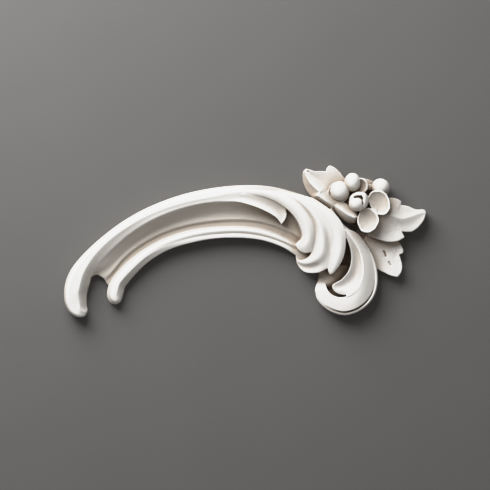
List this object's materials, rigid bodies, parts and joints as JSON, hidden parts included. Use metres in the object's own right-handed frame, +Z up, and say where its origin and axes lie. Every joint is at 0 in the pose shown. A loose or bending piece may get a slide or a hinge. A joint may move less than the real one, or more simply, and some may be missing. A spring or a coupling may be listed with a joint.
{
  "type": "relief ornament",
  "caption": "Cast plaster relief ornament: a C-scroll turning into an acanthus leaf and a volute, with a flower, a berry and leaves, flat backed for a wall panel.",
  "frame": {"origin": "on the flat back, behind the middle of the flower", "axes": "+X to the right as seen from the front, along the length; +Y into the wall, so the carved front faces -Y; +Z up, as it hangs in the picture"},
  "size_m": [0.362, 0.027, 0.151],
  "materials": {
    "plaster": "matt off-white cast plaster with a fine grain"
  },
  "bodies": {
    "root": {"ornament": "plaster"}
  },
  "joints": []
}
